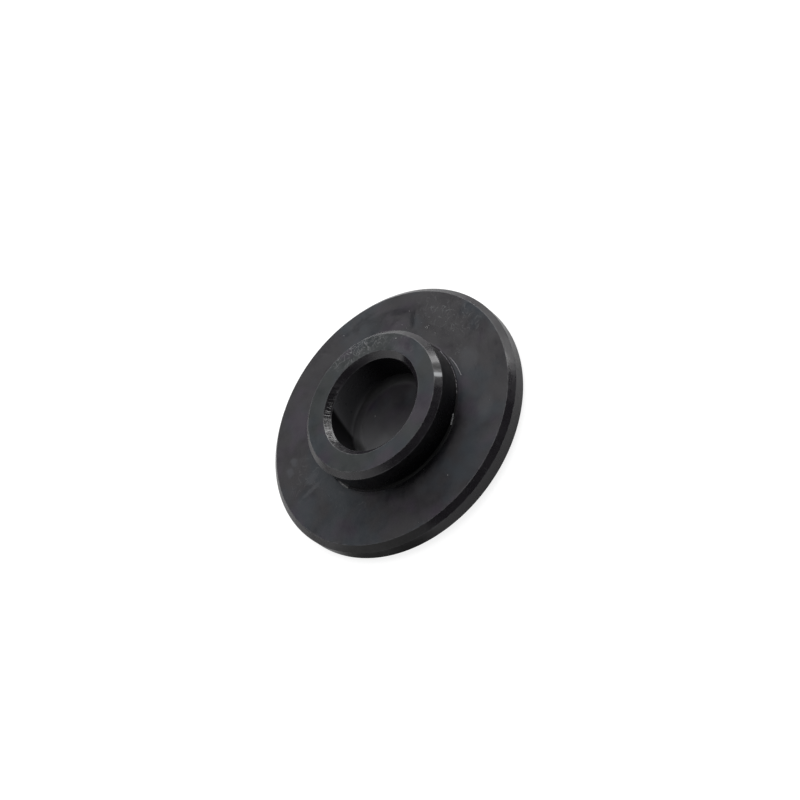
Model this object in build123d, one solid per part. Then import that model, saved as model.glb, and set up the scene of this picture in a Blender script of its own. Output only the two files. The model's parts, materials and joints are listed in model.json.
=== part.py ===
from build123d import *
import os

# Suspension spacer: one turned piece of black plastic. A round flange carries a smaller boss, and a
# blind recess is bored into the boss. It stands on the flange's back face, with its axis on +Z and
# its origin in the middle of that face. Every size is in millimetres.

# ---- Driving dimensions ----

FLANGE_DIAMETER = 50.0
FLANGE_THICKNESS = 4.25
BOSS_DIAMETER = 28.0
BOSS_HEIGHT = 5.5              # from the flange's front face to the boss's end face
RECESS_DIAMETER = 17.5
RECESS_FLOOR_THICKNESS = 2.0   # what the recess leaves above the back face

BACK_EDGE_CHAMFER = 1.0        # every chamfer is at 45 degrees
FRONT_EDGE_CHAMFER = 1.0
BOSS_EDGE_CHAMFER = 1.0
RECESS_MOUTH_CHAMFER = 1.0
BOSS_ROOT_RADIUS = 0.3         # left in the inner corner by the nose of the facing tool
RECESS_FLOOR_RADIUS = 1.0      # left in the recess by the nose of the boring bar

# ---- Sizes that follow from them ----

FLANGE_RADIUS = FLANGE_DIAMETER / 2
BOSS_RADIUS = BOSS_DIAMETER / 2
RECESS_RADIUS = RECESS_DIAMETER / 2
OVERALL_HEIGHT = FLANGE_THICKNESS + BOSS_HEIGHT


def corner(section, radius, height):
    """The corner of a half-section that lies at this radius and height."""
    return section.vertices().sort_by_distance(Vector(radius, height))[0]


def stepped_half_section():
    """The stepped bar with its recess, cut along the axis, with every corner still sharp.

    X is the distance from the axis and Y is the height above the back face. The points go round
    the section from the middle of the back face.
    """
    outline = Polyline(
        (0, 0),
        (FLANGE_RADIUS, 0),
        (FLANGE_RADIUS, FLANGE_THICKNESS),
        (BOSS_RADIUS, FLANGE_THICKNESS),
        (BOSS_RADIUS, OVERALL_HEIGHT),
        (RECESS_RADIUS, OVERALL_HEIGHT),
        (RECESS_RADIUS, RECESS_FLOOR_THICKNESS),
        (0, RECESS_FLOOR_THICKNESS),
        close=True,
    )
    return make_face(outline)


def break_outer_corners(section):
    """Chamfer the corners that a hand or a mating part meets."""
    chamfers = (
        (FLANGE_RADIUS, 0, BACK_EDGE_CHAMFER),
        (FLANGE_RADIUS, FLANGE_THICKNESS, FRONT_EDGE_CHAMFER),
        (BOSS_RADIUS, OVERALL_HEIGHT, BOSS_EDGE_CHAMFER),
        (RECESS_RADIUS, OVERALL_HEIGHT, RECESS_MOUTH_CHAMFER),
    )
    for radius, height, length in chamfers:
        section = chamfer(corner(section, radius, height), length)
    return section


def round_inner_corners(section):
    """Give the inner corners the radius of the tool that cut them."""
    radii = (
        (BOSS_RADIUS, FLANGE_THICKNESS, BOSS_ROOT_RADIUS),
        (RECESS_RADIUS, RECESS_FLOOR_THICKNESS, RECESS_FLOOR_RADIUS),
    )
    for radius, height, tool_radius in radii:
        section = fillet(corner(section, radius, height), tool_radius)
    return section


def make_spacer():
    """Turn the finished half-section about the axis."""
    section = round_inner_corners(break_outer_corners(stepped_half_section()))
    return revolve(Plane.XZ * section, Axis.Z)


os.makedirs("parts", exist_ok=True)
export_step(make_spacer(), "parts/spacer_body.step")
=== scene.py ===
# %% [markdown]
# # A turned plastic spacer, dressed for the studio
#
# The real object is one piece of black plastic bar, turned on a lathe: a round flange, a smaller boss
# on it, and a blind recess bored into the boss. The CAD model holds its sizes. This lesson rebuilds the
# skin of that solid with the fine edges that a lathe leaves, gives it a turned and handled finish, adds
# the slivers and dust that lie on it, and lights it on a white table.
#
# The first cell loads the CAD model, and a helper that reads the box of one of its parts. The finished
# model has to stay inside it.

# %% Load the CAD model
import json
import math

import bmesh
import bpy
from mathutils import Matrix, Vector


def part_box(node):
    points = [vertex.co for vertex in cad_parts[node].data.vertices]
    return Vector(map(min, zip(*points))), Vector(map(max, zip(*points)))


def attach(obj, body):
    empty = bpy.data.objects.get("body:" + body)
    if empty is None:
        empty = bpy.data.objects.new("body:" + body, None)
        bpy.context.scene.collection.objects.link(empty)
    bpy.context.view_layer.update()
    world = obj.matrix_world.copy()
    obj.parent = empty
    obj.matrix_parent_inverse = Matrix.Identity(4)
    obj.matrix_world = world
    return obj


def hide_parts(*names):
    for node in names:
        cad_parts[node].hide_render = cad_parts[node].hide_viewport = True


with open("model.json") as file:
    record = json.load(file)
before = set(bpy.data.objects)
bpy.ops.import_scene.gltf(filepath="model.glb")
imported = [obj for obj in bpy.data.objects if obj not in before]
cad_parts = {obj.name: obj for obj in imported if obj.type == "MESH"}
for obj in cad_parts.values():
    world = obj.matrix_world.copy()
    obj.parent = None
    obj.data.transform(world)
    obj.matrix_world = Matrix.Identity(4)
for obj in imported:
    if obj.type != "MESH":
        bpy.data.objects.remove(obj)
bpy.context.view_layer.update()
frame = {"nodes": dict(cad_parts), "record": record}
MM = 0.001

# %% [markdown]
# ## Read the sizes off the solid
#
# A turned piece is known by its half-section: how far each corner is from the axis, and how high. The
# record names the working faces with their places, so most sizes come from there. The chamfers on the
# flange and the floor of the recess have no name in the record, so they are read from the solid's own
# mesh: the rim's points give the chamfers, and the lowest point inside the recess is its floor.

# %% Sizes from the record and the mesh
mounts = {mount["name"]: mount for mount in frame["record"]["mounts"]}
solid = frame["nodes"]["spacer_body"]
_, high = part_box("spacer_body")
points = [vertex.co for vertex in solid.data.vertices]


def straight_wall(name):
    """Radius, lower end and upper end of a round mount's straight wall."""
    dims = mounts[name]["dims"]
    middle = mounts[name]["pos_m"][2]
    half = dims["length_mm"] * MM / 2
    return dims["r_mm"] * MM, middle - half, middle + half


recess_radius, recess_wall_low, recess_wall_high = straight_wall("recess")
boss_radius, boss_wall_low, boss_wall_high = straight_wall("boss")
flange_radius = high.x
flange_top = mounts["flange_face"]["pos_m"][2]
boss_top = high.z

near_enough = 0.01 * MM
rim_heights = [p.z for p in points if math.hypot(p.x, p.y) > flange_radius - near_enough]
inside_heights = [p.z for p in points if math.hypot(p.x, p.y) < recess_radius and p.z > near_enough]
rim_low, rim_high = min(rim_heights), max(rim_heights)
recess_floor = min(inside_heights)

boss_chamfer = boss_top - boss_wall_high
mouth_chamfer = boss_top - recess_wall_high
front_chamfer = flange_top - rim_high
back_chamfer = rim_low
root_radius = boss_wall_low - flange_top
floor_radius = recess_wall_low - recess_floor
sizes = {
    "flange radius": flange_radius, "flange top": flange_top, "boss radius": boss_radius,
    "boss top": boss_top, "recess radius": recess_radius, "recess floor": recess_floor,
    "boss chamfer": boss_chamfer, "mouth chamfer": mouth_chamfer, "front chamfer": front_chamfer,
    "back chamfer": back_chamfer, "root radius": root_radius, "floor radius": floor_radius}
for name, size in sizes.items():
    print(f"{name}: {size / MM:.2f} mm")

# %% [markdown]
# ## A short way to build node trees
#
# Both the shape and the finish are made with nodes. The first helper adds one node, sets its properties,
# and fills its inputs: a socket is linked, and anything else becomes the input's own value. The helpers
# after it are named for what they do to numbers and vectors, so that a tree reads like a sum.

# %% Helpers: nodes
def add(tree, kind, inputs=None, **settings):
    """Add a node. The keys of inputs are socket names or numbers."""
    node = tree.nodes.new(kind)
    for name, value in settings.items():
        setattr(node, name, value)
    for key, value in (inputs or {}).items():
        if isinstance(value, bpy.types.NodeSocket):
            tree.links.new(value, node.inputs[key])
        else:
            node.inputs[key].default_value = value
    return node


def made(tree, kind, inputs=None, **settings):
    """Add a node and return its first output."""
    return add(tree, kind, inputs, **settings).outputs[0]


def math_node(tree, operation, *values, clamp=False):
    """One Math node; returns its result."""
    return made(tree, "ShaderNodeMath", dict(enumerate(values)), operation=operation, use_clamp=clamp)


print("node helpers ready")

# %% Helpers: numbers in a tree
def chain(tree, operation, values):
    """Apply one operation to all the values, from left to right."""
    result = values[0]
    for value in values[1:]:
        result = math_node(tree, operation, result, value)
    return result


def times(tree, *values):
    return chain(tree, "MULTIPLY", values)


def total(tree, *values):
    return chain(tree, "ADD", values)


def most(tree, *values):
    """The largest of the values."""
    return chain(tree, "MAXIMUM", values)


def minus(tree, value, taken):
    return math_node(tree, "SUBTRACT", value, taken)


def over(tree, value, divisor):
    return math_node(tree, "DIVIDE", value, divisor)


def above(tree, value, limit):
    """1 where value is more than the limit, and 0 elsewhere."""
    return math_node(tree, "GREATER_THAN", value, limit)


def below(tree, value, limit):
    return math_node(tree, "LESS_THAN", value, limit)


def flip(tree, value):
    """1 where value is 0, and 0 where it is 1."""
    return minus(tree, 1.0, value)


def remap(tree, value, low, high, to_low=0.0, to_high=1.0):
    """Smooth step from low to high."""
    return made(tree, "ShaderNodeMapRange", {0: value, 1: low, 2: high, 3: to_low, 4: to_high},
                interpolation_type="SMOOTHSTEP")


print("number helpers ready")

# %% Helpers: vectors in a tree
def vector_node(tree, operation, *values, result="Vector"):
    """One Vector Math node; returns the result that is asked for."""
    inputs = dict(enumerate(values))
    return add(tree, "ShaderNodeVectorMath", inputs, operation=operation).outputs[result]


def length_of(tree, vector):
    return vector_node(tree, "LENGTH", vector, result="Value")


def scaled(tree, vector, factor):
    return made(tree, "ShaderNodeVectorMath", {0: vector, "Scale": factor}, operation="SCALE")


def vector_of(tree, *values):
    """A vector from up to three numbers; the missing ones are 0."""
    return made(tree, "ShaderNodeCombineXYZ", dict(enumerate(values)))


def parts_of(tree, vector):
    """The three numbers of a vector."""
    return add(tree, "ShaderNodeSeparateXYZ", {0: vector}).outputs


print("vector helpers ready")

# %% [markdown]
# ## Draw the half-section
#
# The outline runs from the middle of the recess's floor, up the wall, over the boss, across the flange
# and round to the middle of the back face. No real edge is perfectly sharp: a cut edge keeps a radius of
# a few hundredths of a millimetre, and that radius is what catches the light as a thin line. So each
# outer corner gets a small radius, and the two inner corners get the radius of the tool's nose.
#
# A smooth-shaded mesh bends its shading across a whole face unless a ring of points stands close to each
# corner, so two support points go beside every corner, a few radii away. Each run of the outline also says
# how closely it is to be cut into rings, because only the mouth's chamfer carries fine marks.

# %% Half-section with worn corners and support points
WORN_EDGE = 0.07 * MM
SUPPORT = 2.5
PLAIN_RUN = 1.2 * MM
FINE_RUN = 0.16 * MM

corners = [
    # distance from the axis, height, corner radius, is it an outer edge?, ring gap of the run after it
    (0.0, recess_floor, 0.0, False, PLAIN_RUN),
    (recess_radius, recess_floor, floor_radius, False, PLAIN_RUN),
    (recess_radius, boss_top - mouth_chamfer, WORN_EDGE, True, FINE_RUN),
    (recess_radius + mouth_chamfer, boss_top, WORN_EDGE, True, PLAIN_RUN),
    (boss_radius - boss_chamfer, boss_top, WORN_EDGE, True, PLAIN_RUN),
    (boss_radius, boss_top - boss_chamfer, WORN_EDGE, True, PLAIN_RUN),
    (boss_radius, flange_top, root_radius, False, PLAIN_RUN),
    (flange_radius - front_chamfer, flange_top, WORN_EDGE, True, PLAIN_RUN),
    (flange_radius, flange_top - front_chamfer, WORN_EDGE, True, PLAIN_RUN),
    (flange_radius, back_chamfer, WORN_EDGE, True, PLAIN_RUN),
    (flange_radius - back_chamfer, 0.0, WORN_EDGE, True, PLAIN_RUN),
    (0.0, 0.0, 0.0, False, PLAIN_RUN),
]


def with_support_points(corners):
    """Each corner as (place, corner radius, outer edge, ring gap), with a plain point on either side."""
    places = [Vector((radius, 0.0, height)) for radius, height, *_ in corners]
    points = []
    for number, (_, _, rounding, outer, run_after) in enumerate(corners):
        here = places[number]
        if rounding and number > 0:
            back = (places[number - 1] - here).normalized()
            points.append((here + back * SUPPORT * rounding, 0.0, False, PLAIN_RUN))
        points.append((here, rounding, outer, PLAIN_RUN))
        if rounding and number < len(corners) - 1:
            ahead = (places[number + 1] - here).normalized()
            points.append((here + ahead * SUPPORT * rounding, 0.0, False, run_after))
    return points


def placed(name, data):
    """A new object in the scene."""
    thing = bpy.data.objects.new(name, data)
    bpy.context.scene.collection.objects.link(thing)
    return thing


outline = with_support_points(corners)
section_mesh = bpy.data.meshes.new("half_section")
runs = [(number, number + 1) for number in range(len(outline) - 1)]
section_mesh.from_pydata([point[0] for point in outline], runs, [])
stored_kinds = (("corner_radius", "FLOAT"), ("outer_edge", "BOOLEAN"), ("ring_gap", "FLOAT"))
for column, (name, kind) in enumerate(stored_kinds, start=1):
    attribute = section_mesh.attributes.new(name, kind, "POINT")
    for number, point in enumerate(outline):
        attribute.data[number].value = point[column]
section = placed("turned_spacer", section_mesh)
print("half-section points:", len(outline))

# %% [markdown]
# ## Turn the half-section into a body
#
# A lathe turns one outline about an axis, and Geometry Nodes can follow the same rule. The tree rounds
# the corners with Fillet Curve, then makes a plain grid with one row for each point of the outline and
# one column for each step round the axis. Each grid point moves to its outline point, turned by its
# step's angle. Merge by Distance closes the seam and the two middles. A Screw modifier would turn the
# outline too, but here the tree can also store what the finish needs: how far each point is along the
# outline, and how far it is from the nearest outer edge.
#
# Every tree in this lesson has named inputs for its sizes and ends in the same two nodes, so the two ends
# have helpers of their own.

# %% Helpers: the two ends of a tree
def start_tree(name, *numbers, counts=(), objects=()):
    """A Geometry Nodes tree with geometry in and out and named inputs; returns it and its inputs."""
    tree = bpy.data.node_groups.new(name, "GeometryNodeTree")
    wanted = [("Geometry", "Geometry"), *((number, "Float") for number in numbers)]
    wanted += [(count, "Int") for count in counts] + [(thing, "Object") for thing in objects]
    for socket, kind in (*wanted, ("Material", "Material")):
        tree.interface.new_socket(socket, in_out="INPUT", socket_type="NodeSocket" + kind)
    tree.interface.new_socket("Geometry", in_out="OUTPUT", socket_type="NodeSocketGeometry")
    return tree, tree.nodes.new("NodeGroupInput").outputs


def end_tree(tree, geometry, material):
    """Realize the instances, give the result its material and pass it out."""
    real = made(tree, "GeometryNodeRealizeInstances", {"Geometry": geometry})
    dressed = made(tree, "GeometryNodeSetMaterial", {"Geometry": real, "Material": material})
    add(tree, "NodeGroupOutput", {0: dressed})
    print(f"{tree.name} tree: {len(tree.nodes)} nodes")
    return tree


def set_input(modifier, name, value):
    """Set a tree's input by its socket's identifier."""
    for item in modifier.node_group.interface.items_tree:
        if item.name == name and item.in_out == "INPUT":
            modifier[item.identifier] = value
            return
    raise KeyError(name)


print("tree helpers ready")

# %% Geometry Nodes tree: the lathe
SEAM_GAP = 0.001 * MM


def stored_on_mesh(tree, name, kind="FLOAT"):
    """An attribute of the mesh, inside a Geometry Nodes tree."""
    return made(tree, "GeometryNodeInputNamedAttribute", {"Name": name}, data_type=kind)


def store(tree, geometry, name, value):
    """Store a number on each point, for the finish to read."""
    return made(tree, "GeometryNodeStoreNamedAttribute", {
        "Geometry": geometry, "Name": name, "Value": value}, data_type="FLOAT", domain="POINT")


def at_row(tree, curve, value, row, kind):
    """The value at one point of a curve."""
    return made(tree, "GeometryNodeSampleIndex", {0: curve, "Value": value, "Index": row},
                data_type=kind, domain="POINT")


def lathe_tree():
    tree, given = start_tree("lathe", counts=("Steps round", "Arc points"))

    # round the corners, then cut each long run into rings
    curve = made(tree, "GeometryNodeMeshToCurve", {0: given["Geometry"]})
    radius = stored_on_mesh(tree, "corner_radius")
    rounded = made(tree, "GeometryNodeFilletCurve", {
        "Curve": curve, "Count": given["Arc points"], "Radius": radius}, mode="POLY")
    position = made(tree, "GeometryNodeInputPosition")
    index = made(tree, "GeometryNodeInputIndex")
    following = made(tree, "GeometryNodeFieldAtIndex", {
        "Value": position, "Index": total(tree, index, 1.0)}, data_type="FLOAT_VECTOR")
    run = vector_node(tree, "DISTANCE", position, following, result="Value")
    cuts = math_node(tree, "FLOOR", over(tree, run, stored_on_mesh(tree, "ring_gap")))
    fine = made(tree, "GeometryNodeSubdivideCurve", {"Curve": rounded, "Cuts": cuts})

    # one grid row per outline point, one column per step
    size = add(tree, "GeometryNodeAttributeDomainSize", {0: fine}, component="CURVE")
    columns = total(tree, given["Steps round"], 1.0)
    grid = add(tree, "GeometryNodeMeshGrid", {
        "Vertices X": size.outputs["Point Count"], "Vertices Y": columns}).outputs["Mesh"]
    row = math_node(tree, "FLOOR", over(tree, index, columns))
    column = math_node(tree, "MODULO", index, columns)
    angle = times(tree, over(tree, column, given["Steps round"]), math.tau)
    place = at_row(tree, fine, position, row, "FLOAT_VECTOR")
    length = add(tree, "GeometryNodeSplineParameter").outputs["Length"]
    along = at_row(tree, fine, length, row, "FLOAT")
    turned = made(tree, "ShaderNodeVectorRotate", {"Vector": place, "Angle": angle},
                  rotation_type="Z_AXIS")

    # distance from the nearest outer edge, measured in the half-section
    outer = stored_on_mesh(tree, "outer_edge", "BOOLEAN")
    edges = made(tree, "GeometryNodeSeparateGeometry", {
        0: given["Geometry"], "Selection": outer}, domain="POINT")
    edge_gap = add(tree, "GeometryNodeProximity", {0: edges, "Sample Position": place},
                   target_element="POINTS").outputs["Distance"]

    body = store(tree, store(tree, grid, "along", along), "edge_gap", edge_gap)
    body = made(tree, "GeometryNodeSetPosition", {"Geometry": body, "Position": turned})
    body = made(tree, "GeometryNodeMergeByDistance", {"Geometry": body, "Distance": SEAM_GAP})
    body = made(tree, "GeometryNodeSetShadeSmooth", {"Geometry": body, "Shade Smooth": True})
    return end_tree(tree, body, given["Material"])


lathe = lathe_tree()

# %% [markdown]
# ## Keep a plain mesh
#
# The nodes have done their work once the mesh is right, so the result is read from the evaluated object,
# the modifier is taken off and the drawing is thrown away. The faces of closed shells are turned outwards,
# and the number of open edges and the body's volume are printed.

# %% Helpers: bake the nodes, then check the mesh
def bake_nodes(thing, *steps):
    """Run each (tree, inputs) pair on thing and keep only the result, as a plain mesh."""
    name = thing.name
    for tree, inputs in steps:
        modifier = thing.modifiers.new(tree.name, "NODES")
        modifier.node_group = tree
        for socket, value in inputs.items():
            set_input(modifier, socket, value)
    graph = bpy.context.evaluated_depsgraph_get()
    mesh = bpy.data.meshes.new_from_object(thing.evaluated_get(graph))
    thing.modifiers.clear()
    bpy.data.objects.remove(thing)
    volume, open_edges = face_outwards(mesh)
    triangles = sum(len(face.vertices) - 2 for face in mesh.polygons)
    print(f"{name}: {triangles} triangles, {volume / MM ** 3:.2f} mm3, open edges: {open_edges}")
    return mesh


def face_outwards(mesh):
    """Turn the faces of closed shells outwards; return the volume and the number of open edges."""
    work = bmesh.new()
    work.from_mesh(mesh)
    bmesh.ops.recalc_face_normals(work, faces=work.faces)
    if work.calc_volume(signed=True) < 0:
        bmesh.ops.reverse_faces(work, faces=work.faces)
    open_edges = sum(not edge.is_manifold for edge in work.edges)
    volume = work.calc_volume(signed=True)
    work.to_mesh(mesh)
    work.free()
    return volume, open_edges


def new_piece(name, mesh):
    """Put a mesh in the scene as a piece of the object, which rides with its one body."""
    piece = placed(name, mesh)
    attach(piece, "root")
    return piece


print("baking helpers ready")

# %% [markdown]
# ## Chatter marks in the mouth of the recess
#
# A chamfer tool that is pushed hard into plastic shivers, and leaves a row of small ripples round part
# of the chamfer. They could be a bump pattern, but they also show in the highlight's shape, so this
# second tree really presses them into the mesh. It finds the points on the chamfer by their distance
# from the axis and their height, and pushes them into the plastic by a noise that changes quickly round
# the axis and slowly across the chamfer. A soft window keeps the ripples to one side.

# %% Helpers: noise, and windows round the axis
def noise(tree, place, scale, detail=2.0, rough=0.5, result=0):
    """Noise with this many cells for each unit of place."""
    return add(tree, "ShaderNodeTexNoise", {
        "Vector": place, "Scale": scale, "Detail": detail, "Roughness": rough}).outputs[result]


def round_the_axis(tree):
    """Each point's distance from the axis, angle round it, and height."""
    x, y, height = parts_of(tree, made(tree, "GeometryNodeInputPosition"))
    return length_of(tree, vector_of(tree, x, y)), math_node(tree, "ARCTAN2", y, x), height


def ring(tree, radius, start, full_from, full_to, end):
    """1 between full_from and full_to, 0 outside start and end, soft between."""
    return times(tree, remap(tree, radius, start, full_from), remap(tree, radius, full_to, end, 1.0, 0.0))


def sector(tree, angle, middle, half_width, full_share):
    """1 round the middle angle, for this share of the half width, then fading to 0 at its end."""
    away = math_node(tree, "WRAP", minus(tree, angle, middle), math.pi, -math.pi)
    share = over(tree, math_node(tree, "ABSOLUTE", away), half_width)
    return remap(tree, share, full_share, 1.0, 1.0, 0.0)


print("noise and window helpers ready")

# %% Geometry Nodes tree: chatter marks
# the ripples fade near the chamfer's two edges, and past this share of the sector's half width
SHOULDER = 0.25
CHATTER_FULL = 0.55
# noise cells per metre across the chamfer, and the noise levels where a ripple starts and is full
ACROSS_CELLS = 0.9 / MM
RIPPLE_FROM = 0.46
RIPPLE_FULL = 0.54


def chatter_tree():
    tree, given = start_tree("chatter", "Inner radius", "Outer radius", "Lowest height", "Middle angle",
                             "Half width", "Depth", "Marks per turn", "Seed")
    radius, angle, height = round_the_axis(tree)
    inner, outer = given["Inner radius"], given["Outer radius"]
    shoulder = times(tree, minus(tree, outer, inner), SHOULDER)
    on_face = ring(tree, radius, inner, total(tree, inner, shoulder), minus(tree, outer, shoulder), outer)
    in_mouth = above(tree, height, given["Lowest height"])
    on_side = sector(tree, angle, given["Middle angle"], given["Half width"], CHATTER_FULL)

    turns = times(tree, over(tree, angle, math.tau), given["Marks per turn"])
    field = vector_of(tree, turns, times(tree, radius, ACROSS_CELLS), given["Seed"])
    ripple = remap(tree, noise(tree, field, 1.0), RIPPLE_FROM, RIPPLE_FULL)
    depth = times(tree, ripple, given["Depth"], on_side, on_face, in_mouth)
    push = scaled(tree, made(tree, "GeometryNodeInputNormal"), times(tree, depth, -1.0))
    body = made(tree, "GeometryNodeSetPosition", {"Geometry": given["Geometry"], "Offset": push})
    return end_tree(tree, body, given["Material"])


chatter = chatter_tree()

# %% [markdown]
# ## Turn the body
#
# Now the two trees run one after the other on the half-section. The result replaces the CAD solid's
# plain look, and is the same body: it has the solid's sizes, and every real edge is a little worn.

# %% Turn the body
STEPS_ROUND = 840
ARC_POINTS = 3
CHATTER_MIDDLE = 128.0
CHATTER_HALF_WIDTH = 52.0
CHATTER_DEPTH = 0.045 * MM
CHATTER_MARKS = 260.0
black_plastic = bpy.data.materials.new("black_turned_plastic")
turned_mesh = bake_nodes(
    section,
    (lathe, {"Steps round": STEPS_ROUND, "Arc points": ARC_POINTS, "Material": black_plastic}),
    (chatter, {"Inner radius": recess_radius, "Outer radius": recess_radius + mouth_chamfer,
               "Lowest height": boss_top - mouth_chamfer, "Middle angle": math.radians(CHATTER_MIDDLE),
               "Half width": math.radians(CHATTER_HALF_WIDTH), "Depth": CHATTER_DEPTH,
               "Marks per turn": CHATTER_MARKS, "Seed": 3.0, "Material": black_plastic}))
spacer = new_piece("turned_spacer_body", turned_mesh)
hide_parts("spacer_body")

# %% [markdown]
# ## Say where on the piece a point is
#
# The finish of a turned face follows the lathe: grooves run round it, and wear sits on its edges. So the
# material needs the distance from the axis, the angle round it, the way along the half-section and the
# gap to the nearest edge, all in millimetres. Object coordinates give the first two, and the attributes
# that the lathe tree stored give the others. The surface's own direction tells flat faces, chamfers and
# straight walls apart.

# %% Helpers: where a point is
def stored(tree, name):
    """A length that the lathe tree stored on the mesh, in millimetres."""
    return times(tree, add(tree, "ShaderNodeAttribute", attribute_name=name).outputs["Fac"], 1 / MM)


class PlaceOnPiece:
    """Sockets that tell a material where on the turned piece it is, in millimetres."""

    def __init__(self, tree):
        self.xyz = scaled(tree, add(tree, "ShaderNodeTexCoord").outputs["Object"], 1 / MM)
        self.x, self.y, self.height = parts_of(tree, self.xyz)
        flat = vector_of(tree, self.x, self.y)
        self.radius = length_of(tree, flat)
        self.round = vector_node(tree, "NORMALIZE", flat)
        self.angle = math_node(tree, "ARCTAN2", self.y, self.x)
        self.along = stored(tree, "along")
        self.edge_gap = stored(tree, "edge_gap")
        self.facing = parts_of(tree, add(tree, "ShaderNodeNewGeometry").outputs["Normal"])[2]


flange_mm, boss_mm, floor_mm = flange_top / MM, boss_top / MM, recess_floor / MM
flange_edge, boss_edge, recess_edge = flange_radius / MM, boss_radius / MM, recess_radius / MM
print(f"heights in mm: floor {floor_mm:.2f}, flange {flange_mm:.2f}, boss {boss_mm:.2f}")

# %% [markdown]
# ## Build a finish in layers
#
# A worn surface is easiest to think of as layers, put on in the order in which they happened: the cut
# plastic first, then dirt, handling and scratches. Each layer may change the colour, the roughness and
# the height. This small class keeps the three running results and joins them to the shader at the end.
# On the flat faces the roughness matters most: no lamp is in their mirror direction, so a rougher patch
# catches more of the lamps and looks paler, and a smoother patch looks darker.

# %% Helper: a finish in layers
SMOOTHEST = 0.12


class Finish:
    """The colour, roughness and height of a material, built up in layers."""

    def __init__(self, material, colour, roughness):
        material.use_nodes = True
        self.tree = material.node_tree
        self.tree.nodes.clear()
        self.place = PlaceOnPiece(self.tree)
        self.colour = (*colour, 1.0)
        self.roughness = roughness
        self.height = 0.0

    def paint(self, amount, colour):
        """Mix a colour in, where amount is more than 0."""
        self.colour = add(self.tree, "ShaderNodeMix", {0: amount, 6: self.colour, 7: (*colour, 1.0)},
                          data_type="RGBA").outputs[2]

    def roughen(self, amount, change):
        self.roughness = total(self.tree, self.roughness, times(self.tree, amount, change))

    def lift(self, amount, millimetres):
        self.height = total(self.tree, self.height, times(self.tree, amount, millimetres))

    def coat(self, where, colour=None, cover=1.0, rougher=0.0, raised=0.0):
        """One layer in one place: some colour, a change of roughness and a change of height."""
        if colour:
            self.paint(times(self.tree, where, cover), colour)
        if rougher:
            self.roughen(where, rougher)
        if raised:
            self.lift(where, raised)

    def join(self, refraction):
        """Put the layers on a shader."""
        tree = self.tree
        bump = made(tree, "ShaderNodeBump", {"Strength": 1.0, "Distance": MM, "Height": self.height})
        shader = made(tree, "ShaderNodeBsdfPrincipled", {
            "Base Color": self.colour, "Roughness": most(tree, self.roughness, SMOOTHEST),
            "IOR": refraction, "Normal": bump})
        add(tree, "ShaderNodeOutputMaterial", {"Surface": shader})
        print("nodes in the finish:", len(tree.nodes))


print("layer helper ready")

# %% [markdown]
# ## A mark at a chosen place
#
# Hands and tools leave marks in particular places, and each has a length, a width and a lean. A Mapping
# node set to Texture turns and scales the coordinates so that the mark becomes a circle of radius 1 about
# its own middle. A little noise makes its border ragged, and the height is squeezed too, so that a mark
# on the flange stays off the boss. Several marks of one kind are a short list, one row to a mark.

# %% Helpers: marks and fine lines
# a border has about this many cells of noise along its mark's shorter reach; a mark is solid this far out
BORDER_CELLS = 0.9
SOLID_SHARE = 0.3


def polar(angle, radius, height=0.0):
    """The place in millimetres at this angle in degrees from +X and this radius."""
    turn = math.radians(angle)
    return (radius * math.cos(turn), radius * math.sin(turn), height)


def mark(finish, angle, radius, height, across, along, lean=0.0, ragged=0.35, deep=0.6):
    """1 in the middle of a mark, 0 outside it. across is its reach from the axis, along is round it."""
    tree, place = finish.tree, finish.place
    local = made(tree, "ShaderNodeMapping", {
        "Vector": place.xyz, "Location": polar(angle, radius, height),
        "Rotation": (0.0, 0.0, math.radians(angle + lean)), "Scale": (across, along, deep)},
        vector_type="TEXTURE")
    border = noise(tree, place.xyz, BORDER_CELLS / min(across, along), 3.0)
    wobble = times(tree, minus(tree, border, 0.5), 2.0 * ragged)
    return remap(tree, total(tree, length_of(tree, local), wobble), 1.0, SOLID_SHARE)


def marks(finish, height, rows):
    """The strongest of several marks at one height. A row holds a mark's angle, radius, reach from the
    axis, reach round it, lean, raggedness and strength."""
    return most(finish.tree, *(
        times(finish.tree, mark(finish, angle, radius, height, across, along, lean, ragged), strength)
        for angle, radius, across, along, lean, ragged, strength in rows))


def wander(tree, place, scale, amount):
    """Move each place by a slow noise, so that lines which follow it wander."""
    centred = vector_node(tree, "SUBTRACT", noise(tree, place, scale, result=1), (0.5, 0.5, 0.5))
    return vector_node(tree, "ADD", place, scaled(tree, centred, amount))


def hair_lines(tree, field, scale, width):
    """Thin wandering lines, where a noise crosses its middle value."""
    level = math_node(tree, "ABSOLUTE", minus(tree, noise(tree, field, scale, 1.0), 0.5))
    return remap(tree, level, width, 0.0)


def fan(tree, place, scale_round, scale_out):
    """Coordinates in which a noise makes marks that point away from the axis."""
    return vector_of(tree, times(tree, place.angle, scale_round), times(tree, place.radius, scale_out))


print("mark helpers ready")

# %% [markdown]
# ## The cut plastic
#
# The real piece is cut from black bar and is not painted. A cut face is nearly black by itself, and most
# of what the eye sees is the soft gloss on it. So the colour stays very dark, and the gloss changes from
# place to place: clouds a few millimetres wide, wedges that fan out from the axis as the facing cut
# wandered, and rings of the tool's feed. A faint blue or violet bloom lies here and there, as it does on
# black plastic that has been oiled and wiped. The turning grooves run fast along the half-section and
# slowly round the axis.

# %% Layers 1: clouds, wedges and rings
CUT_BLACK = (0.0118, 0.0102, 0.0130)
CUT_ROUGHNESS = 0.33

plastic = Finish(black_plastic, CUT_BLACK, CUT_ROUGHNESS)
tree, place = plastic.tree, plastic.place

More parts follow.
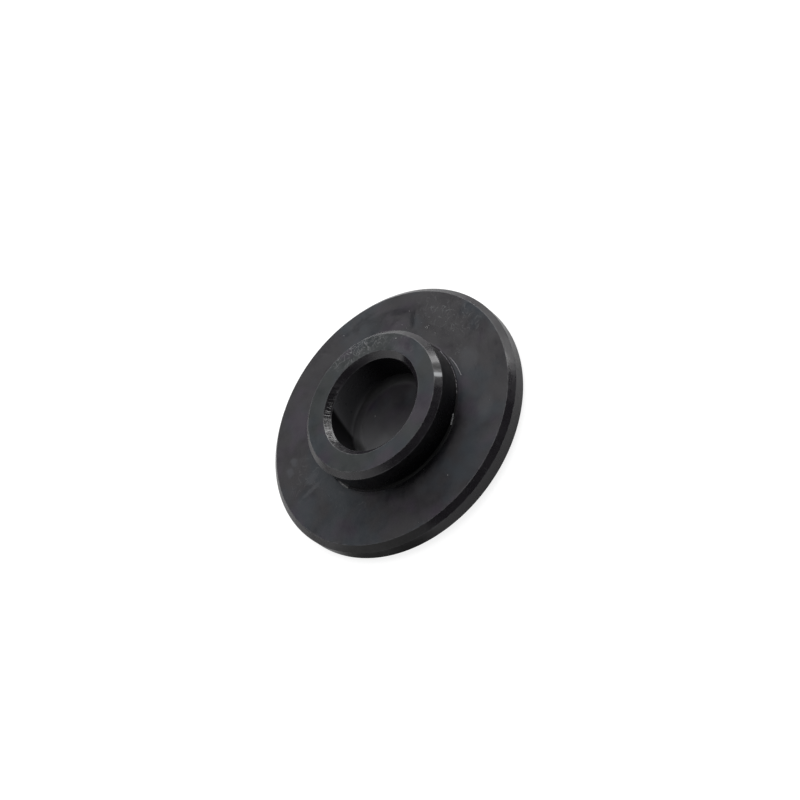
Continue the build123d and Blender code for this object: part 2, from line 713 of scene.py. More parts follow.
clouds = remap(tree, noise(tree, place.xyz, 0.17, 4.0, 0.55), 0.32, 0.68)
small_clouds = remap(tree, noise(tree, place.xyz, 0.45, 3.0), 0.3, 0.7)
blotches = remap(tree, noise(tree, place.xyz, 1.1, 3.0, 0.55), 0.32, 0.68)
wedges = noise(tree, scaled(tree, place.round, 3.0), 1.0, 3.0)
feed_rings = noise(tree, vector_of(tree, place.along), 0.9, 3.0, 0.6)
uneven_gloss = (clouds, 0.11), (small_clouds, 0.055), (blotches, 0.035), (wedges, 0.08), (feed_rings, 0.05)
for pattern, change in uneven_gloss:
    plastic.roughen(pattern, change)
plastic.roughen(1.0, -0.05)
print("uneven gloss laid on")

# %% Layers 1: bloom and grooves
GREEN_BLOOM = (0.0090, 0.0128, 0.0132)
BLUE_BLOOM = (0.0115, 0.0175, 0.0245)
VIOLET_BLOOM = (0.0205, 0.0135, 0.0245)

shifted_in_x = vector_node(tree, "ADD", place.xyz, (40.0, 0.0, 0.0))
shifted_in_y = vector_node(tree, "ADD", place.xyz, (0.0, 70.0, 0.0))
blue = remap(tree, noise(tree, shifted_in_x, 0.13), 0.45, 0.65)
violet = remap(tree, noise(tree, shifted_in_y, 0.15), 0.5, 0.68)
on_flat = remap(tree, place.facing, 0.9, 0.97)
on_boss = above(tree, place.height, flange_mm + 1.0)
plastic.paint(times(tree, on_flat, on_boss, 0.9), GREEN_BLOOM)
plastic.paint(times(tree, blue, on_flat, 0.8), BLUE_BLOOM)
plastic.paint(times(tree, violet, on_flat, 0.8), VIOLET_BLOOM)

drift = times(tree, noise(tree, place.round, 1.5), 0.12)
grooves = noise(tree, vector_of(tree, total(tree, place.along, drift)), 7.0, 2.0, 0.7)
grain = noise(tree, place.xyz, 9.0)
plastic.lift(times(tree, grooves, remap(tree, on_flat, 0.0, 1.0, 0.15, 1.0)), 0.004)
plastic.lift(feed_rings, 0.005)
plastic.lift(clouds, 0.004)
plastic.lift(times(tree, grain, on_flat), 0.0015)
print("bloom and grooves laid on")

# %% [markdown]
# ## Smudges and handling marks on the flange
#
# Someone has picked the piece up with oily fingers. Oil fills the fine grooves, so a smudge is smoother
# and darker than the plastic round it: there is one long smudge that follows the rim, and a narrow one
# where a finger was dragged towards it. Dry skin does the opposite and leaves pale, rougher dabs.

# %% Layers 2: smudges and dabs
OIL_BLACK = (0.006, 0.006, 0.0085)
DRY_GREY = (0.032, 0.034, 0.041)

smudges = marks(plastic, flange_mm, (
    (63.0, 21.5, 1.3, 4.6, 8.0, 0.55, 1.0),
    (52.0, 20.7, 1.2, 4.6, 3.0, 0.55, 1.0),
    (41.0, 20.5, 1.1, 4.6, -3.0, 0.55, 1.0),
    (50.0, 19.3, 2.6, 8.0, 0.0, 0.5, 0.6),
    (30.8, 18.9, 3.2, 0.8, 6.0, 0.35, 1.0)))
plastic.coat(smudges, OIL_BLACK, 0.6, -0.09)
worn_side = mark(plastic, -12.0, 20.0, flange_mm, 8.0, 17.0, ragged=0.2)
plastic.roughen(worn_side, -0.045)

flange_dabs = marks(plastic, flange_mm, (
    (150.0, 21.4, 1.0, 1.4, 0.0, 0.6, 1.0),
    (145.5, 20.3, 0.9, 1.3, 30.0, 0.6, 1.0),
    (168.0, 18.8, 3.6, 0.6, 0.0, 0.6, 1.0),
    (162.0, 17.6, 1.8, 1.3, 20.0, 0.6, 1.0),
    (-171.0, 15.5, 0.6, 1.2, 0.0, 0.6, 1.0),
    (72.0, 16.2, 2.0, 4.0, 0.0, 0.6, 1.0),
    (-24.0, 17.6, 2.6, 3.4, 0.0, 0.4, 0.7),
    (-57.0, 19.9, 2.0, 3.4, 0.0, 0.4, 0.7)))
boss_dab = times(tree, mark(plastic, 8.0, 10.3, boss_mm, 0.7, 3.4, ragged=0.3), 0.7)
plastic.coat(most(tree, flange_dabs, boss_dab), DRY_GREY, 0.6, 0.09)
print("smudges and dabs laid on")

# %% [markdown]
# ## Scratches and the frosted patch
#
# A band of the flange is covered with hair-fine scratches that wander, as swarf leaves when it is rubbed
# over a face. A line that wanders is where a slow noise crosses its middle value: the set of such places
# is a thin line. The boss has a patch where its face and chamfer were rubbed until they frosted, which is
# the same kind of line, only closer and paler.

# %% Layers 3: scratches and frost
HAIR_GREY = (0.060, 0.062, 0.066)
FROST_GREY = (0.14, 0.14, 0.146)
FLECK_GREY = (0.30, 0.30, 0.29)
STRAY_HAIRS = 0.05

flange_band = marks(plastic, flange_mm, (
    (10.0, 20.4, 3.6, 11.0, -4.0, 0.25, 1.0),
    (-12.0, 16.6, 1.6, 3.4, 0.0, 0.3, 1.0),
    (-152.0, 16.4, 2.0, 2.0, 0.0, 0.3, 0.8),
    (161.0, 18.5, 6.0, 6.0, 0.0, 0.4, 0.5)))
boss_band = times(tree, mark(plastic, 15.0, 11.4, boss_mm, 2.8, 6.0, ragged=0.4), 0.6)
patches = remap(tree, noise(tree, place.xyz, 0.9), 0.4, 0.6)
scratched = total(tree, times(tree, most(tree, flange_band, boss_band), patches), STRAY_HAIRS)
hairs = times(tree, hair_lines(tree, wander(tree, place.xyz, 0.4, 3.0), 0.75, 0.03), scratched)
plastic.coat(hairs, HAIR_GREY, 0.85, 0.1, -0.012)

rubbed = mark(plastic, 60.0, 11.7, boss_mm, 3.2, 8.0, deep=2.0)
crackle_field = wander(tree, place.xyz, 0.9, 1.6)
coarse_crackle = hair_lines(tree, crackle_field, 0.7, 0.03)
fine_crackle = times(tree, hair_lines(tree, crackle_field, 1.5, 0.045), patches, 0.8)
spokes = remap(tree, noise(tree, fan(tree, place, 22.0, 0.7), 1.6, 4.0, 0.7), 0.52, 0.68)
frost = most(tree, coarse_crackle, fine_crackle, times(tree, spokes, patches, 0.7))
plastic.coat(times(tree, rubbed, frost), FROST_GREY, 0.8, 0.15, 0.006)
plastic.coat(mark(plastic, 20.7, 12.1, boss_mm, 0.13, 0.17, ragged=0.2, deep=0.3), FLECK_GREY, 0.9)
print("scratches and frost laid on")

# %% [markdown]
# ## Chamfers, walls and edges
#
# A chamfer is cut last, with a fresh tool, so it is smoother than the faces and shows the lamps' shapes.
# The straight walls of the boss and the recess are painted near-black, as painted shade. On the edges the
# plastic is worn a little paler, in nicks rather than in an even line, and that paler colour is also a
# painted highlight along the edges.

# %% Layers 4: chamfers, walls and edges
WALL_SHADE_BLACK = (0.0008, 0.0008, 0.0012)
WEAR_AND_HIGHLIGHT_GREY = (0.075, 0.076, 0.08)

near_edge = below(tree, place.edge_gap, 1.0)
chamfer_slope = times(tree, remap(tree, place.facing, 0.5, 0.64), remap(tree, place.facing, 0.9, 0.78))
on_chamfer = times(tree, chamfer_slope, near_edge)
waves = noise(tree, vector_node(tree, "MULTIPLY", place.xyz, (1.0, 1.0, 0.3)), 0.28)
plastic.roughen(on_chamfer, -0.19)
plastic.lift(times(tree, waves, on_chamfer), 0.03)

upright = remap(tree, place.facing, 0.4, 0.15)
boss_wall = times(tree, upright, below(tree, place.radius, boss_edge + 0.5))
# painted shade: the boss's and the recess's straight walls are painted near-black
plastic.paint(times(tree, boss_wall, 0.85), WALL_SHADE_BLACK)
plastic.roughen(times(tree, boss_wall, above(tree, place.radius, boss_edge - 0.5)), -0.12)

nicks = noise(tree, place.xyz, 1.3, 3.0, 0.6)
wear_reach = remap(tree, nicks, 0.35, 0.7, 0.03, 0.22)
# paler worn nicks on the edges, partly a painted highlight along them
wear_and_highlight = math_node(tree, "SUBTRACT", 1.0, over(tree, place.edge_gap, wear_reach), clamp=True)
plastic.coat(wear_and_highlight, WEAR_AND_HIGHLIGHT_GREY, 0.5, 0.05)
print("chamfers, walls and edges laid on")

# %% [markdown]
# ## Painted shade at the root, and marks on the chamfers
#
# On one side of the boss's root the plastic is painted darker as painted shade, thinning out over the
# flange, and the corner there is painted black as painted shade. The rim is painted near-black on one
# side, as painted shade. The chamfers have places of their own: the flange's has painted shade on one
# side and is dull on another, and the boss's has a polished place, a matt one, and a short painted
# highlight with painted shade beside it. The chatter ripples in the mouth's chamfer get pale ticks and
# dark gaps, which are painted glints and painted shade.

# %% Layers 5: painted shade at the root and on the rim
SHADE_BLACK = (0.002, 0.002, 0.0025)
CORNER_SHADE_BLACK = (0.0005, 0.0005, 0.0006)

root_gap = vector_node(tree, "DISTANCE", vector_of(tree, place.radius, 0.0, place.height),
                       (boss_edge, 0.0, flange_mm), result="Value")
from_front = math_node(tree, "ABSOLUTE", total(tree, place.angle, math.radians(98.0)))
shaded_side = remap(tree, from_front, math.radians(62.0), math.radians(20.0))
# painted shade: darker on one side of the boss's root, thinning out over the flange
plastic.coat(times(tree, remap(tree, root_gap, 4.2, 0.3), shaded_side), SHADE_BLACK, 0.9, -0.2)
in_corner = remap(tree, root_gap, 0.32, 0.29)
# painted shade: the root's corner on that side is painted black
plastic.paint(times(tree, in_corner, shaded_side), CORNER_SHADE_BLACK)
plastic.roughen(in_corner, 0.7)

on_rim = times(tree, upright, above(tree, place.radius, flange_edge - 0.2))
# painted shade: on one side the rim is painted near-black
shaded_rim = mark(plastic, -136.0, flange_edge, flange_mm / 2.0, 4.0, 17.0, ragged=0.2, deep=4.0)
rim_gloss = total(tree, 0.16, times(tree, shaded_rim, -0.6))
plastic.roughen(times(tree, on_rim, rim_gloss), -1.0)
plastic.paint(times(tree, on_rim, shaded_rim, 0.9), WALL_SHADE_BLACK)
print("dirt laid on")

# %% Layers 5: marks on the chamfers
CHAMFER_SHADE_DARK = (0.003, 0.003, 0.003)
GLINT_GREY = (0.41, 0.42, 0.43)
TICK_GLINT_GREY = (0.10, 0.10, 0.105)

rim_chamfer = (flange_edge - front_chamfer / MM / 2, flange_mm - front_chamfer / MM / 2)
top_chamfer = (boss_edge - boss_chamfer / MM / 2, boss_mm - boss_chamfer / MM / 2)
chamfer_marks = (
    # where, angle, reach from the axis, reach round it, raggedness, depth, colour, cover, rougher
    # painted shade on one side of the flange's chamfer
    (rim_chamfer, -138.0, 4.0, 17.0, 0.2, 3.0, CHAMFER_SHADE_DARK, 0.8, 0.34),
    (rim_chamfer, -19.0, 3.0, 13.0, 0.2, 3.0, None, 0.0, 0.25),
    (top_chamfer, -26.0, 2.0, 2.2, 0.2, 2.0, None, 0.0, -0.13),
    (top_chamfer, 3.0, 2.0, 4.0, 0.2, 2.0, None, 0.0, 0.13),
    # a painted highlight: a short pale glint on the boss's chamfer
    (top_chamfer, -38.6, 2.0, 0.65, 0.1, 2.0, GLINT_GREY, 0.9, 0.3),
    # painted shade: a dark gap beside that painted highlight
    (top_chamfer, -31.2, 2.0, 1.15, 0.15, 2.0, SHADE_BLACK, 0.9, 0.28),
)
for where, angle, across, along, ragged, deep, colour, cover, rougher in chamfer_marks:
    here = mark(plastic, angle, *where, across, along, ragged=ragged, deep=deep)
    plastic.coat(times(tree, here, on_chamfer), colour, cover, rougher)

ticks = remap(tree, noise(tree, fan(tree, place, 24.0, 0.9), 1.0, 3.0, 0.6), 0.54, 0.68)
in_mouth = below(tree, place.radius, recess_edge + mouth_chamfer / MM + 0.1)
chatter_side = mark(plastic, CHATTER_MIDDLE + 20.0, 8.4, boss_mm - 0.5, 5.5, 12.0, ragged=0.15, deep=4.0)
chattered = times(tree, chatter_side, in_mouth, on_chamfer)
# the pale ticks on the chatter ripples are painted glints, and the gaps between them get painted shade
plastic.paint(times(tree, chattered, ticks, 0.8), TICK_GLINT_GREY)
plastic.paint(times(tree, chattered, flip(tree, ticks), 0.4), CHAMFER_SHADE_DARK)
print("marks on the chamfers:", len(chamfer_marks))

# %% [markdown]
# ## Painted light in the recess
#
# A dull grey is painted in the recess as painted light. It covers the back of the wall and fades across
# the floor, and on one side the wall is left dark past a slanting line that starts lower the further it
# goes round. The masks are made from the same coordinates as the rest.

# %% Layers 6: painted light in the recess
WALL_LIGHT_GREY = (0.115, 0.115, 0.122)
FLOOR_LIGHT_GREY = (0.069, 0.069, 0.073)
LIT_EDGE_START = math.radians(146.0)
LIT_EDGE_SLANT = math.radians(-22.0)
LIT_EDGE_SOFTNESS = math.radians(7.0)

in_recess = times(tree, below(tree, place.radius, recess_edge + 0.02),
                  above(tree, place.height, floor_mm - 0.5))
on_wall = remap(tree, place.facing, 0.75, 0.35)
depth_share = times(tree, minus(tree, place.height, floor_mm), 1.0 / (boss_mm - floor_mm))
lit_edge = total(tree, LIT_EDGE_START, times(tree, depth_share, LIT_EDGE_SLANT))
past_lit_edge = remap(tree, minus(tree, lit_edge, place.angle), 0.0, LIT_EDGE_SOFTNESS)
wall_light = times(tree, past_lit_edge, remap(tree, place.x, 6.0, -3.5), remap(tree, place.y, 0.5, 3.0), on_wall)
across_floor = total(tree, place.x, times(tree, place.y, 0.6))
floor_light = times(tree, remap(tree, across_floor, 4.0, -6.5), flip(tree, on_wall))
toward_back = remap(tree, total(tree, place.y, times(tree, place.x, 0.3)), 2.5, 9.0)
# painted light: lighter grey on the back of the wall and across part of the floor
plastic.paint(times(tree, in_recess, wall_light), WALL_LIGHT_GREY)
plastic.paint(times(tree, in_recess, floor_light), FLOOR_LIGHT_GREY)
plastic.roughen(times(tree, in_recess, total(tree, 0.05, times(tree, toward_back, 0.15))), -1.0)
print("film laid on")

# %% Layers 6: painted shade in the recess's corner, and a painted highlight on its floor
CORNER_SHADE_DARK = (0.004, 0.004, 0.004)
FAR_CORNER_SHADE = (0.003, 0.003, 0.0035)
WEDGE_SHADE = (0.0015, 0.0015, 0.002)
FLOOR_HIGHLIGHT_GREY = (0.16, 0.16, 0.165)

corner = times(tree, remap(tree, place.facing, 0.2, 0.35), remap(tree, place.radius, 6.6, 7.9), in_recess)
plastic.roughen(corner, 0.45)
# painted shade: the corner between the recess's wall and floor is painted darker on one side
plastic.paint(times(tree, corner, remap(tree, place.x, -3.0, 2.0), 0.6), CORNER_SHADE_DARK)
far_side = times(tree, mark(plastic, 55.0, 7.8, floor_mm, 3.0, 9.0, ragged=0.2, deep=1.2),
                 remap(tree, place.radius, 6.8, 7.7))
# painted shade on the far side of the recess's corner
plastic.paint(times(tree, far_side, in_recess, 0.8), FAR_CORNER_SHADE)
plastic.roughen(times(tree, far_side, in_recess, flip(tree, corner)), -0.12)
# a painted highlight: a pale patch on the recess's floor
floor_highlight = mark(plastic, -166.0, 5.0, floor_mm, 3.0, 2.6, ragged=0.6)
plastic.coat(times(tree, floor_highlight, in_recess), FLOOR_HIGHLIGHT_GREY, 0.15)
# painted shade: a dark wedge at one side of the recess's floor
shaded_wedge = mark(plastic, 165.0, 8.3, floor_mm, 1.5, 4.4, ragged=0.15, deep=1.6)
plastic.coat(times(tree, shaded_wedge, in_recess), WEDGE_SHADE, 0.9, -0.1)
print("the recess's corner laid on")

# %% [markdown]
# ## Join the layers
#
# All the layers now go to one shader. Its index of refraction is that of a hard plastic, which sets how
# strongly the lamps show in the gloss.

# %% Join the layers
PLASTIC_REFRACTION = 1.46
plastic.join(PLASTIC_REFRACTION)

# %% [markdown]
# ## Slivers of swarf at the boss's root
#
# When the tool reaches the corner under the boss it tears off a little plastic. Two flakes are still
# stuck there, and a few hair-thin threads lie along the corner. They are small, but they are real
# shapes, and they catch the light as no painted line does. Each one follows a short path, so a tree can
# make them all: it wobbles the path with noise, gives it a flat profile that tapers to both ends, and
# closes the ends. The profile is kept upright with a Z Up normal, or a flake might stand on its edge.

# %% Geometry Nodes tree: slivers
# noise cells per millimetre of path, and the sides of the profile
WOBBLE_CELLS = 1.4
PROFILE_SIDES = 8
# shares of the full thickness: at the ends, at the thinnest places, and what the noise adds to those
THINNEST = 0.02
THIN_SHARE = 0.55
RAGGED_SHARE = 0.9
# a lower power keeps a sliver thick for longer
TAPER_POWER = 0.6


def sliver_tree():
    tree, given = start_tree("slivers", "Point gap", "Half width", "Half thickness", "Waviness", "Seed")
    path = made(tree, "GeometryNodeMeshToCurve", {0: given["Geometry"]})
    path = made(tree, "GeometryNodeResampleCurve", {
        "Curve": path, "Length": given["Point gap"]}, mode="LENGTH")
    in_mm = scaled(tree, made(tree, "GeometryNodeInputPosition"), 1 / MM)
    field = {"Vector": in_mm, "W": given["Seed"], "Scale": WOBBLE_CELLS, "Detail": 3.0}
    wobble = add(tree, "ShaderNodeTexNoise", field, noise_dimensions="4D").outputs
    push = scaled(tree, vector_node(tree, "SUBTRACT", wobble[1], (0.5, 0.5, 0.5)), given["Waviness"])
    path = made(tree, "GeometryNodeSetPosition", {"Geometry": path, "Offset": push})
    path = made(tree, "GeometryNodeSetCurveNormal", {"Curve": path}, mode="Z_UP")

    share = add(tree, "GeometryNodeSplineParameter").outputs["Factor"]
    taper = most(tree, math_node(tree, "SINE", times(tree, share, math.pi)), THINNEST)
    ragged = total(tree, THIN_SHARE, times(tree, wobble[0], RAGGED_SHARE))
    thickness = times(tree, math_node(tree, "POWER", taper, TAPER_POWER), ragged)
    path = made(tree, "GeometryNodeSetCurveRadius", {"Curve": path, "Radius": thickness})
    circle = made(tree, "GeometryNodeCurvePrimitiveCircle", {"Resolution": PROFILE_SIDES, "Radius": 1.0})
    flat = vector_of(tree, given["Half width"], given["Half thickness"], 1.0)
    profile = made(tree, "GeometryNodeTransform", {"Geometry": circle, "Scale": flat})
    sweep = made(tree, "GeometryNodeCurveToMesh", {
        "Curve": path, "Profile Curve": profile, "Fill Caps": True})
    smooth = made(tree, "GeometryNodeSetShadeSmooth", {"Geometry": sweep, "Shade Smooth": True})
    return end_tree(tree, smooth, given["Material"])


def drawn_paths(name, paths):
    """An object of loose edges: each path is a list of (angle in degrees, radius, height) in mm."""
    places, edges = [], []
    for path in paths:
        edges += [(len(places) + n, len(places) + n + 1) for n in range(len(path) - 1)]
        places += [Vector(polar(*stop)) * MM for stop in path]
    mesh = bpy.data.meshes.new(name)
    mesh.from_pydata(places, edges, [])
    return placed(name, mesh)


slivers = sliver_tree()

# %% [markdown]
# ## Flakes and threads
#
# Torn plastic turns grey where it is stretched, so the flakes and threads are paler than the piece. The
# flakes lie on the flange against the boss. The threads follow the corner for a few millimetres, and their
# pale colour is also a painted highlight along the corner.

# %% Helpers: torn plastic and its slivers
def torn_plastic(name, dark, pale):
    """Plastic that was stretched and torn: rough, and streaked from dark to pale."""
    material = bpy.data.materials.new(name)
    finish = Finish(material, dark, 0.5)
    streaks = remap(finish.tree, noise(finish.tree, finish.place.xyz, 4.0, 3.0), 0.35, 0.65)
    finish.coat(streaks, pale, raised=0.01)
    finish.join(PLASTIC_REFRACTION)
    return material


def sliver_piece(name, paths, half_width, half_thickness, waviness, point_gap, seed, material):
    """Make slivers along paths, with all sizes in millimetres."""
    drawing = drawn_paths(name, [[(angle, boss_edge + out, height) for angle, out, height in path]
                                 for path in paths])
    mesh = bake_nodes(drawing, (slivers, {
        "Point gap": point_gap * MM, "Half width": half_width * MM, "Half thickness": half_thickness * MM,
        "Waviness": waviness * MM, "Seed": seed, "Material": material}))
    new_piece(name, mesh)


print("sliver helpers ready")

# %% Make the flakes and threads
# each stop on a path: angle in degrees, how far outside the boss's wall, and height, in mm
flake_paths = (
    ((-178.5, -0.02, 4.50), (-175.0, 0.10, 4.40), (-171.5, 0.20, 4.33), (-168.2, 0.26, 4.29)),
    ((-61.0, -0.02, 4.55), (-64.0, 0.02, 4.45), (-67.0, 0.04, 4.38), (-68.6, 0.06, 4.30)),
)
thread_paths = (
    ((-3.0, 0.12, 4.31), (-12.0, 0.02, 4.42), (-19.0, 0.02, 4.40)),
    ((-21.0, 0.03, 4.40), (-29.0, 0.05, 4.34), (-36.0, 0.06, 4.33)),
    ((-37.0, 0.02, 4.40), (-45.0, 0.01, 4.42)),
    ((-13.5, 0.62, 4.27), (-19.0, 0.80, 4.27), (-24.0, 0.93, 4.28), (-32.0, 1.18, 4.27)),
)
torn_flakes = torn_plastic("torn_flakes", (0.08, 0.08, 0.083), (0.22, 0.22, 0.225))
# the threads' pale colour is also a painted highlight along the boss's root
threads_and_glint = torn_plastic("threads_and_glint", (0.06, 0.057, 0.064), (0.2, 0.195, 0.21))
sliver_piece("root_flakes", flake_paths, half_width=0.22, half_thickness=0.11, waviness=0.25,
             point_gap=0.08, seed=2.0, material=torn_flakes)
sliver_piece("root_threads", thread_paths, half_width=0.08, half_thickness=0.05, waviness=0.16,
             point_gap=0.1, seed=5.0, material=threads_and_glint)

# %% [markdown]
# ## Dust and flecks
#
# Fine pale dust has settled on the flange beside the boss and, more thinly, everywhere that faces up.
# Distribute Points on Faces scatters the motes over the turned body, with a density that is high in one
# sector. A few larger flecks have their own places. Every mote is an icosphere of twenty faces, turned
# and stretched at random. The boss's face is left clean, because nothing may stand proud of it.

# %% Geometry Nodes tree: dust
# dust lies where the normal points up by more than this, and thickly up to this share of the sector
FACES_UP = 0.9
DUST_FULL = 0.3
INNER_FADE = 1.0 * MM
OUTER_FADE = 3.0 * MM
FULL_TURN = 6.28


def random_vector(tree, seed, lowest, highest):
    """Three random numbers for each point."""
    return made(tree, "FunctionNodeRandomValue", {
        0: (lowest,) * 3, 1: (highest,) * 3, "Seed": seed}, data_type="FLOAT_VECTOR")


def dust_tree():
    tree, given = start_tree(
        "dust", "Motes per square mm", "Extra in sector", "Middle angle", "Half width", "Inner radius",
        "Outer radius", "Highest", "Rim", "Smallest", "Largest", counts=("Seed",), objects=("Body",))

    # where dust may lie, and where it lies thickly
    radius, angle, height = round_the_axis(tree)
    facing = parts_of(tree, made(tree, "GeometryNodeInputNormal"))[2]
    allowed = times(tree, above(tree, facing, FACES_UP), below(tree, height, given["Highest"]),
                    below(tree, radius, given["Rim"]))
    on_side = sector(tree, angle, given["Middle angle"], given["Half width"], DUST_FULL)
    inner, outer = given["Inner radius"], given["Outer radius"]
    fades_in, fades_out = minus(tree, inner, INNER_FADE), total(tree, outer, OUTER_FADE)
    by_boss = ring(tree, radius, fades_in, inner, outer, fades_out)
    extra = times(tree, on_side, by_boss, given["Extra in sector"])
    density = times(tree, total(tree, given["Motes per square mm"], extra), allowed, 1.0 / MM ** 2)

    # motes on the body, and flecks at the chosen places
    seed = given["Seed"]
    body = add(tree, "GeometryNodeObjectInfo", {"Object": given["Body"]}).outputs["Geometry"]
    scatter = add(tree, "GeometryNodeDistributePointsOnFaces", {
        "Mesh": body, "Density": density, "Seed": seed}).outputs["Points"]
    chosen = made(tree, "GeometryNodeMeshToPoints", {"Mesh": given["Geometry"]})
    ball = add(tree, "GeometryNodeMeshIcoSphere", {"Radius": 1.0, "Subdivisions": 1}).outputs["Mesh"]
    luck = add(tree, "FunctionNodeRandomValue", {2: 0.0, 3: 1.0, "Seed": seed}, data_type="FLOAT").outputs[1]
    turn = random_vector(tree, seed, 0.0, FULL_TURN)
    shape = random_vector(tree, seed, 0.6, 1.3)

    # few motes are large, and a chosen fleck is always near the largest
    few_large = math_node(tree, "POWER", luck, 4.0)
    span = minus(tree, given["Largest"], given["Smallest"])
    mote_size = math_node(tree, "MULTIPLY_ADD", few_large, span, given["Smallest"])
    fleck_size = times(tree, given["Largest"], math_node(tree, "MULTIPLY_ADD", luck, 0.5, 0.7))
    joined = tree.nodes.new("GeometryNodeJoinGeometry")
    for points, size in ((scatter, mote_size), (chosen, fleck_size)):
        group = add(tree, "GeometryNodeInstanceOnPoints", {
            "Points": points, "Instance": ball, "Rotation": turn, "Scale": scaled(tree, shape, size)})
        tree.links.new(group.outputs[0], joined.inputs[0])
    return end_tree(tree, joined.outputs[0], given["Material"])


dust = dust_tree()

# %% [markdown]
# ## Let the dust settle
#
# The dust is pale grey and quite matt. Its flecks are a tenth of a millimetre or so across, so each
# one shows as a bright point and its true shape does not matter.

# %% Scatter the dust
DUST_DARK = (0.32, 0.32, 0.31)
DUST_PALE = (0.5, 0.5, 0.49)
pale_dust = bpy.data.materials.new("pale_dust")
dust_finish = Finish(pale_dust, DUST_DARK, 0.9)
dust_finish.paint(noise(dust_finish.tree, dust_finish.place.xyz, 3.0), DUST_PALE)
dust_finish.join(1.45)

# angle in degrees and radius of each fleck on the flange; one more lies on the recess's floor
flange_flecks = ((18.7, 17.24), (17.6, 17.45), (19.6, 17.0), (17.9, 16.95), (9.8, 16.33), (10.4, 16.5))
fleck_places = [polar(angle, radius, flange_mm) for angle, radius in flange_flecks]
fleck_places.append(polar(108.2, 4.84, floor_mm))
fleck_mesh = bpy.data.meshes.new("flecks")
fleck_mesh.from_pydata([Vector(spot) * MM for spot in fleck_places], [], [])
dust_mesh = bake_nodes(placed("flecks", fleck_mesh), (dust, {
    "Body": spacer, "Motes per square mm": 0.015, "Extra in sector": 0.35,
    "Middle angle": math.radians(14.0), "Half width": math.radians(38.0), "Inner radius": 15.5 * MM,
    "Outer radius": 19.0 * MM, "Highest": boss_top - 0.5 * MM, "Rim": flange_radius - 1.3 * MM,
    "Smallest": 0.015 * MM, "Largest": 0.075 * MM, "Seed": 11, "Material": pale_dust}))
new_piece("settled_dust", dust_mesh)

# %% [markdown]
# ## A white table
#
# The piece lies on a white table that fades into a white background. The table has two looks, chosen by
# the Light Path node. To the piece and the lamps it is plain white paint. To the camera it is mostly a
# steady glow close to white, with a little paint mixed in so that the piece still throws its shadow. The
# glossy plastic sees a mix of both, so the rim reflects a white table without glaring.

# %% Floor
TABLE_REACH = 2.0
TABLE_DROP = -0.02 * MM
corner_signs = ((-1, -1), (1, -1), (1, 1), (-1, 1))
table_corners = [(x * TABLE_REACH, y * TABLE_REACH, TABLE_DROP) for x, y in corner_signs]
floor_mesh = bpy.data.meshes.new("table_top")
floor_mesh.from_pydata(table_corners, [], [(0, 1, 2, 3)])
table = placed("table_top", floor_mesh)
print("table reach, m:", TABLE_REACH)

# %% The table's two looks
TABLE_IN_GLOSS = 0.21


def grey(level):
    """A neutral colour, as a shader's socket takes it."""
    return (level, level, level, 1.0)


def shown_share(tree, in_gloss):
    """1 where the camera looks, in_gloss in glossy reflections, and 0 for all other light."""
    ray = add(tree, "ShaderNodeLightPath").outputs
    glossy = times(tree, ray["Is Glossy Ray"], in_gloss)
    return most(tree, ray["Is Camera Ray"], glossy, ray["Is Transmission Ray"])


table_white = bpy.data.materials.new("white_table")
table_white.use_nodes = True
table_tree = table_white.node_tree
table_tree.nodes.clear()
paint = made(table_tree, "ShaderNodeBsdfDiffuse", {"Color": grey(0.65)})
thin_paint = made(table_tree, "ShaderNodeBsdfDiffuse", {"Color": grey(0.3)})
glow = made(table_tree, "ShaderNodeEmission", {"Color": grey(1.0), "Strength": 0.85})
glowing = made(table_tree, "ShaderNodeAddShader", {0: thin_paint, 1: glow})
shown = shown_share(table_tree, TABLE_IN_GLOSS)
both = made(table_tree, "ShaderNodeMixShader", {0: shown, 1: paint, 2: glowing})
add(table_tree, "ShaderNodeOutputMaterial", {"Surface": both})
floor_mesh.materials.append(table_white)
print("table nodes:", len(table_tree.nodes))

# %% [markdown]
# ## Soft studio light
#
# Black plastic shows little of its own colour, so the lamps are chosen for what they do to its gloss.
# The key is a wide low softbox on one side, which puts a bright band on the rim and the chamfers that
# face it. A lamp behind lifts the flat faces, one on the left opens up the dark side, and two small
# boxes high up light the faces and the recess. A dim world keeps the shadows from going quite black,
# and to the camera it is white, like the table, so that low views have a white background too.
# Each softbox has a radiance, so its size can be changed without changing how bright it looks.

# %% World
WORLD_IN_GLOSS = 0.03
DIM_ROOM = (0.03, 0.03, 0.032, 1.0)
world = bpy.data.worlds.new("studio_room")
bpy.context.scene.world = world
world.use_nodes = True
sky = world.node_tree
sky.nodes.clear()
dim_room = made(sky, "ShaderNodeBackground", {"Color": DIM_ROOM, "Strength": 1.0})
backdrop = made(sky, "ShaderNodeBackground", {"Color": grey(1.0), "Strength": 1.0})
shown = shown_share(sky, WORLD_IN_GLOSS)
sky_mix = made(sky, "ShaderNodeMixShader", {0: shown, 1: dim_room, 2: backdrop})
add(sky, "ShaderNodeOutputWorld", {"Surface": sky_mix})
bpy.context.scene.view_settings.view_transform = "Standard"
print("world nodes:", len(sky.nodes))

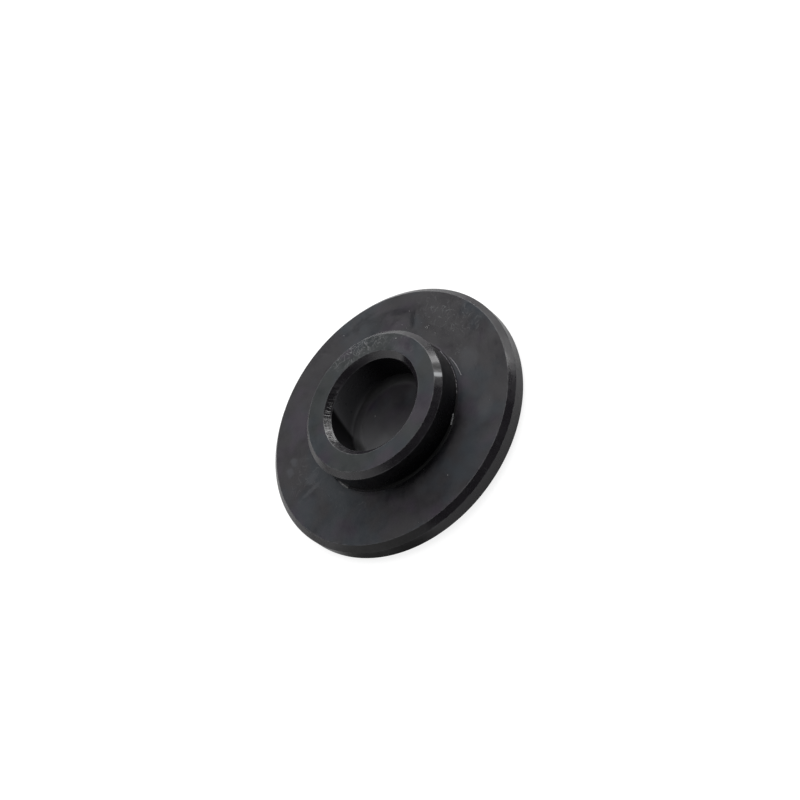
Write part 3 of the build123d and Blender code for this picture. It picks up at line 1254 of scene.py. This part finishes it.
# %% Lamps
LAMP_DISTANCE = 0.8
LAMP_LEVEL = 1.15


def softbox(name, azimuth, elevation, width, height, radiance):
    """A rectangular soft lamp aimed at the piece. Azimuth 0 is +X and 90 is +Y."""
    lamp = bpy.data.lights.new(name, "AREA")
    lamp.shape = "RECTANGLE"
    lamp.size = width
    lamp.size_y = height
    lamp.energy = LAMP_LEVEL * radiance * math.pi * width * height
    thing = placed(name, lamp)
    a, e = math.radians(azimuth), math.radians(elevation)
    away = Vector((math.cos(a) * math.cos(e), math.sin(a) * math.cos(e), math.sin(e)))
    thing.location = away * LAMP_DISTANCE
    thing.rotation_euler = away.to_track_quat("Z", "Y").to_euler()
    print(f"{name}: {lamp.energy:.1f} W")


softbox("key_softbox", 38, 26, 1.15, 0.37, 5.3)
softbox("back_softbox", 96, 15, 0.66, 0.46, 1.25)
softbox("left_softbox", 182, 20, 1.6, 0.42, 0.9)
softbox("top_softbox", 97, 79, 0.22, 0.26, 8.5)
softbox("front_softbox", -45, 72, 0.3, 0.3, 4.0)

# %% [markdown]
# ## The camera
#
# A long lens from a third of a metre away looks down at the piece at about 45 degrees. The tilt is a turn
# about X. The roll is a turn about the line of sight, and only decides which way is up in the picture.
# The sideways and upward shifts put the piece where it belongs in the frame.

# %% Camera
CAMERA_TILT = math.radians(44.498)
CAMERA_ROLL = math.radians(-52.892)
CAMERA_DISTANCE = 333.85 * MM
CAMERA_SIDEWAYS = 2.024 * MM
CAMERA_UPWARD = 2.611 * MM
camera_data = bpy.data.cameras.new("camera")
camera_data.sensor_width = 36.0
camera_data.lens = 87.546
camera = placed("camera", camera_data)
bpy.context.scene.camera = camera
turned_camera = Matrix.Rotation(CAMERA_TILT, 4, "X") @ Matrix.Rotation(CAMERA_ROLL, 4, "Z")
offset = turned_camera @ Vector((CAMERA_SIDEWAYS, CAMERA_UPWARD, CAMERA_DISTANCE))
camera.matrix_world = Matrix.Translation(Vector((0.0, 0.0, flange_top)) + offset) @ turned_camera
print("camera at, mm:", [round(c / MM, 1) for c in camera.matrix_world.translation])
